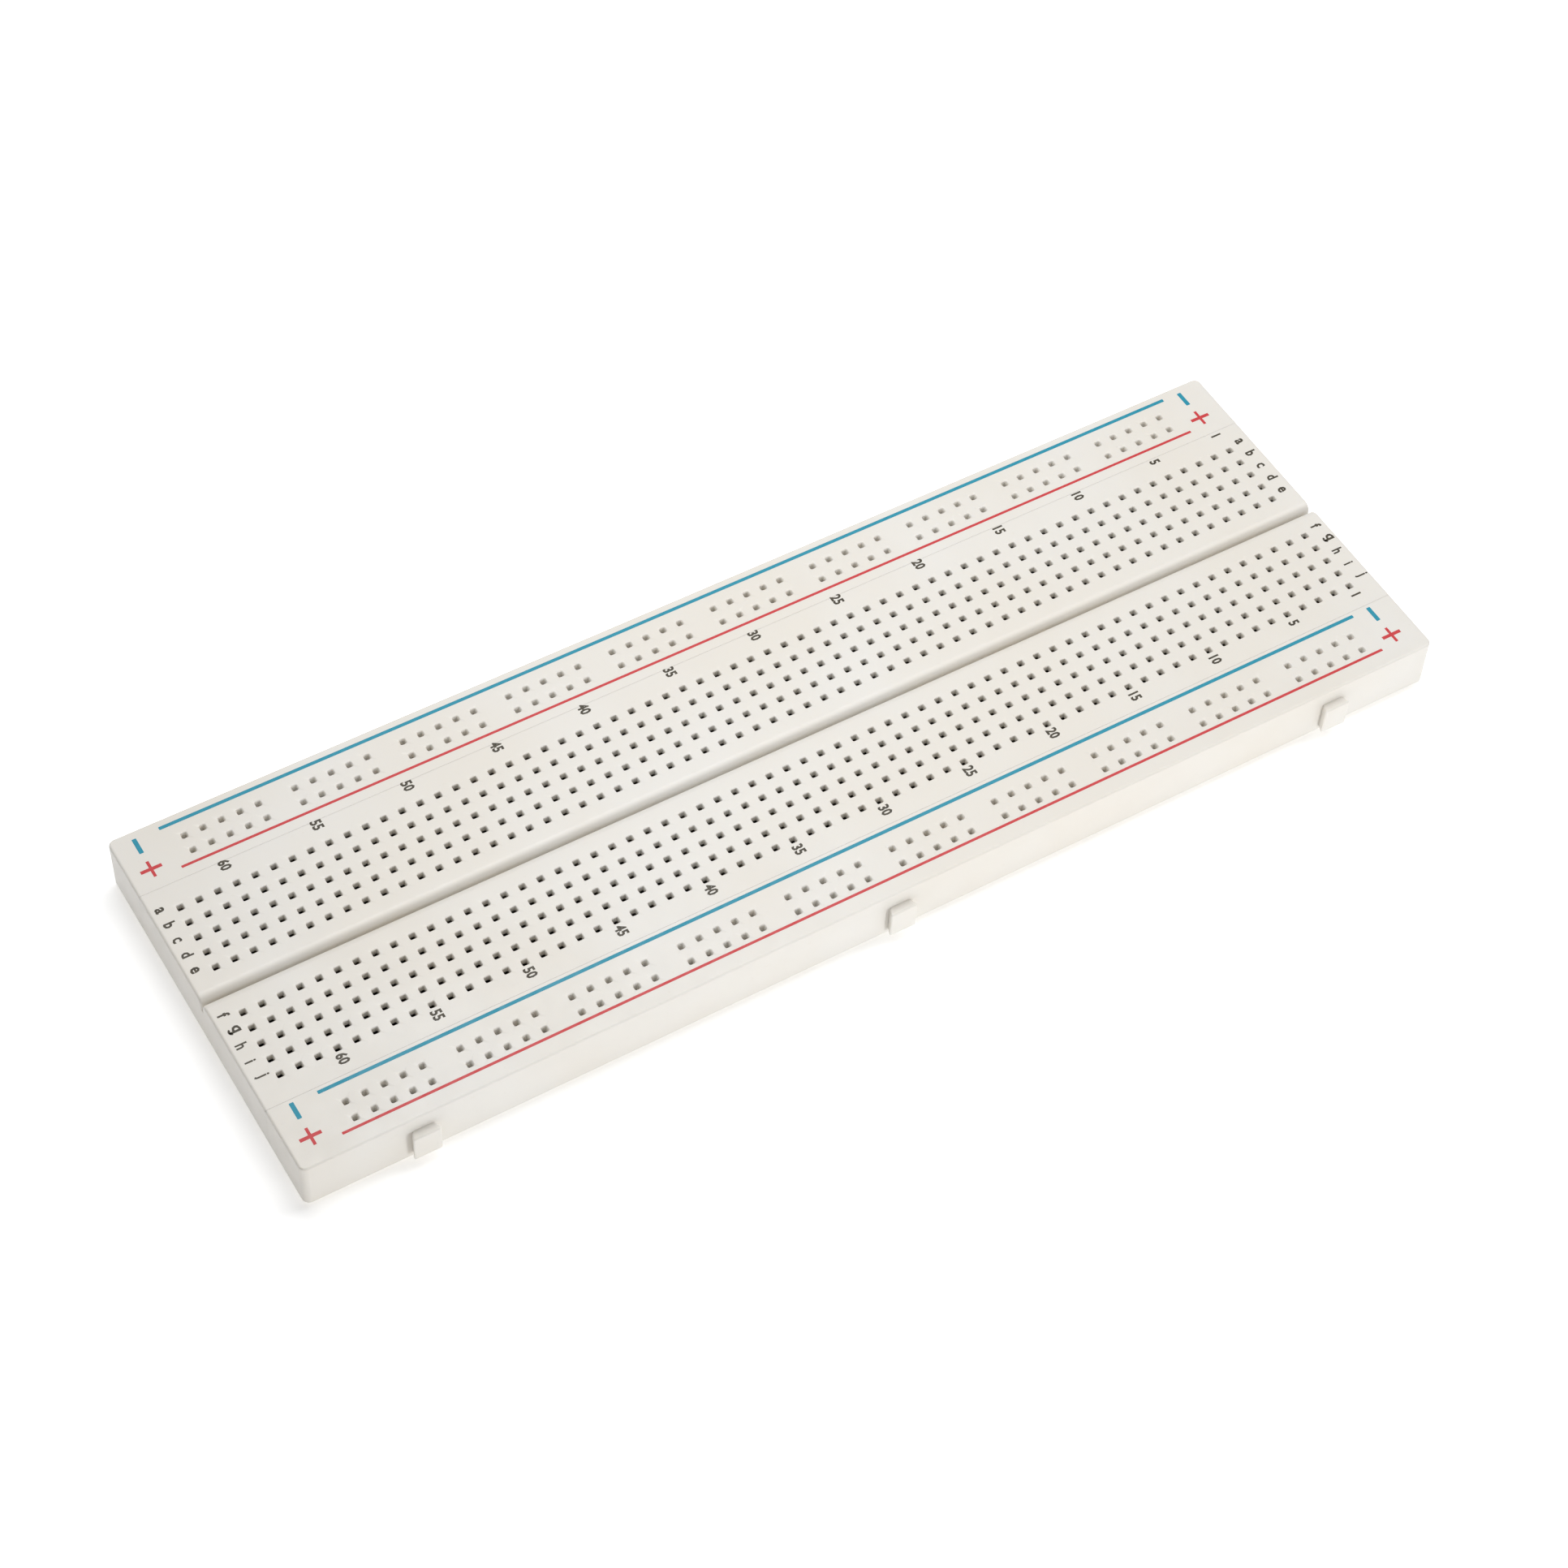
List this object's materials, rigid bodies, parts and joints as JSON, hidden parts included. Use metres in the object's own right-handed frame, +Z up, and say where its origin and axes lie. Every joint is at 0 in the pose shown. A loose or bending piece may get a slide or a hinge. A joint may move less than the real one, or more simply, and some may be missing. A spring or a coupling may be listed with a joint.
{
  "type": "solderless breadboard",
  "caption": "Flat off-white prototyping board: a terminal strip with a centre channel between two bus strips, square tie-point holes over sprung metal contacts.",
  "frame": {"origin": "under the middle of the centre channel, on the surface that the board lies on", "axes": "+X along the strips towards column 1, +Y across them towards row a, +Z up out of the tie-point face"},
  "size_m": [0.165, 0.0562, 0.0085],
  "materials": {
    "housing_plastic": "satin moulded ABS, warm off-white",
    "contact_metal": "nickel-plated phosphor bronze sheet",
    "foam_tape": "matte closed-cell foam with adhesive on both faces",
    "release_liner": "satin waxed paper",
    "dark_ink": "matte pad print",
    "blue_ink": "matte pad print",
    "red_ink": "matte pad print"
  },
  "bodies": {
    "far_bus": {"far_bus_housing": "housing_plastic", "far_positive_rail": "contact_metal", "far_negative_rail": "contact_metal", "far_bus_foam_tape": "foam_tape", "far_bus_release_liner": "release_liner"},
    "terminal": {"terminal_housing": "housing_plastic", "contacts_a_e_01_05": "contact_metal", "contacts_a_e_06_10": "contact_metal", "contacts_a_e_11_15": "contact_metal", "contacts_a_e_16_20": "contact_metal", "contacts_a_e_21_25": "contact_metal", "contacts_a_e_26_30": "contact_metal", "contacts_a_e_31_35": "contact_metal", "contacts_a_e_36_40": "contact_metal", "contacts_a_e_41_45": "contact_metal", "contacts_a_e_46_50": "contact_metal", "contacts_a_e_51_55": "contact_metal", "contacts_a_e_56_60": "contact_metal", "contacts_a_e_61_63": "contact_metal", "contacts_f_j_01_05": "contact_metal", "contacts_f_j_06_10": "contact_metal", "contacts_f_j_11_15": "contact_metal", "contacts_f_j_16_20": "contact_metal", "contacts_f_j_21_25": "contact_metal", "contacts_f_j_26_30": "contact_metal", "contacts_f_j_31_35": "contact_metal", "contacts_f_j_36_40": "contact_metal", "contacts_f_j_41_45": "contact_metal", "contacts_f_j_46_50": "contact_metal", "contacts_f_j_51_55": "contact_metal", "contacts_f_j_56_60": "contact_metal", "contacts_f_j_61_63": "contact_metal", "terminal_foam_tape": "foam_tape", "terminal_release_liner": "release_liner"},
    "near_bus": {"near_bus_housing": "housing_plastic", "near_negative_rail": "contact_metal", "near_positive_rail": "contact_metal", "near_bus_foam_tape": "foam_tape", "near_bus_release_liner": "release_liner"}
  },
  "joints": [
    {"name": "terminal_lift", "type": "slide", "parent": "far_bus", "child": "terminal", "axis": [0, 0, 1], "range_m": [0, 0.012]},
    {"name": "near_bus_lift", "type": "slide", "parent": "terminal", "child": "near_bus", "axis": [0, 0, 1], "range_m": [0, 0.012]}
  ]
}
